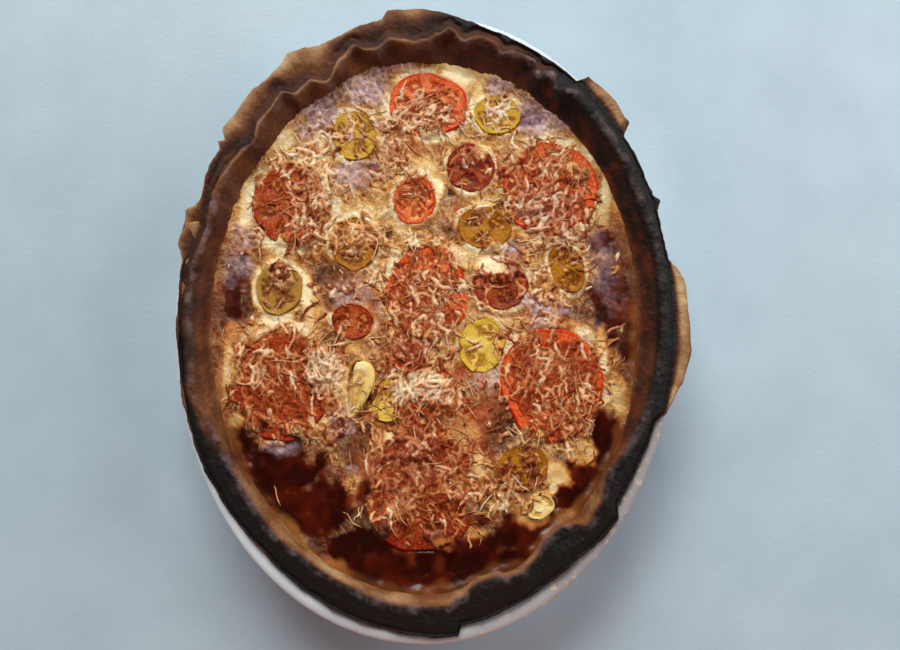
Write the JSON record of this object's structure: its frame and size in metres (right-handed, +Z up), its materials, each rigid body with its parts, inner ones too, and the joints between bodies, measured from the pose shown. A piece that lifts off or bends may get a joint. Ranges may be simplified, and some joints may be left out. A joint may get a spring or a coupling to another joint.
{
  "type": "oval quiche in its baking dish",
  "caption": "Whole oval quiche with a dark folded pastry edge, baked custard, sunk tomato slices and toasted cheese shreds, in its own white stoneware dish.",
  "frame": {"origin": "on the table, under the middle of the dish's flat base", "axes": "+Y along the dish, +Z up"},
  "size_m": [0.282, 0.3515, 0.0534],
  "materials": {
    "dish_glaze": "glossy white glaze, bare buff clay under the foot",
    "pastry": "shortcrust baked dark brown to black on its crest, tan on its outer flap",
    "custard": "baked egg custard, pale cream to toasted brown, glossy where the skin is darkest",
    "tomato_red": "roasted tomato flesh, moist",
    "tomato_yellow": "roasted yellow tomato flesh, moist",
    "cheese": "toasted grated cheese, pale cream to tan pink"
  },
  "bodies": {
    "root": {"baking_dish": "dish_glaze", "pastry_crust": "pastry", "custard_filling": "custard", "tomato_large_1": "tomato_red", "tomato_large_2": "tomato_red", "tomato_large_3": "tomato_red", "tomato_large_4": "tomato_red", "tomato_large_5": "tomato_red", "tomato_large_6": "tomato_red", "tomato_large_7": "tomato_red", "tomato_small_1": "tomato_red", "tomato_small_2": "tomato_red", "tomato_small_3": "tomato_red", "tomato_small_4": "tomato_red", "tomato_small_5": "tomato_red", "tomato_small_6": "tomato_red", "yellow_tomato_1": "tomato_yellow", "yellow_tomato_2": "tomato_yellow", "yellow_tomato_3": "tomato_yellow", "yellow_tomato_4": "tomato_yellow", "yellow_tomato_5": "tomato_yellow", "yellow_tomato_6": "tomato_yellow", "yellow_tomato_7": "tomato_yellow", "yellow_tomato_8": "tomato_yellow", "yellow_tomato_9": "tomato_yellow", "yellow_tomato_10": "tomato_yellow", "yellow_tomato_folded": "tomato_yellow"}
  },
  "joints": []
}
